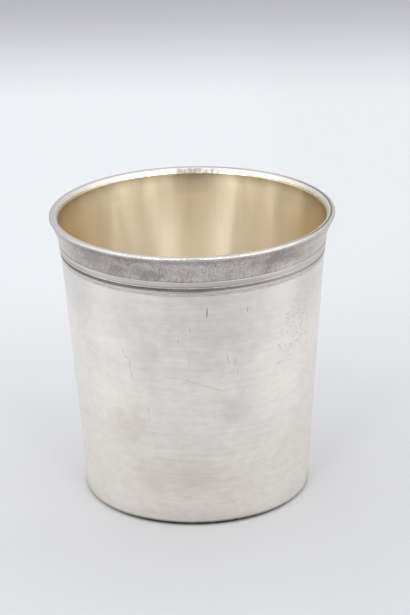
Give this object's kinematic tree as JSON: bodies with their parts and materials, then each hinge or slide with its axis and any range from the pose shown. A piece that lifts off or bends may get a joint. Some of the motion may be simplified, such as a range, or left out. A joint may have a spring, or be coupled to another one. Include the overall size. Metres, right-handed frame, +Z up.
{
  "type": "silver beaker",
  "caption": "Straight-sided, slightly tapered silver beaker with a moulded, flared rim and a gilt inside; free-standing drinking cup on a flat turned-in foot.",
  "frame": {"origin": "centre of the foot, on the surface that the beaker stands on", "axes": "+Z up along the beaker's axis, from the foot to the lip; X and Y lie in the surface and are alike"},
  "size_m": [0.0782, 0.0782, 0.08],
  "materials": {
    "silver": "polished silver, softened by fine scratches, pits and handling wear",
    "rim_silver": "silver with grainy grey tarnish, rubbed bright along its edges",
    "solder": "dull, tarnished silver solder",
    "gilt": "pale worn gilding with fine turning lines"
  },
  "bodies": {
    "root": {"cup_wall": "silver", "base_disc": "silver", "base_solder": "solder", "rim_mount": "rim_silver", "rim_solder": "solder", "gilt_lining": "gilt"}
  },
  "joints": []
}
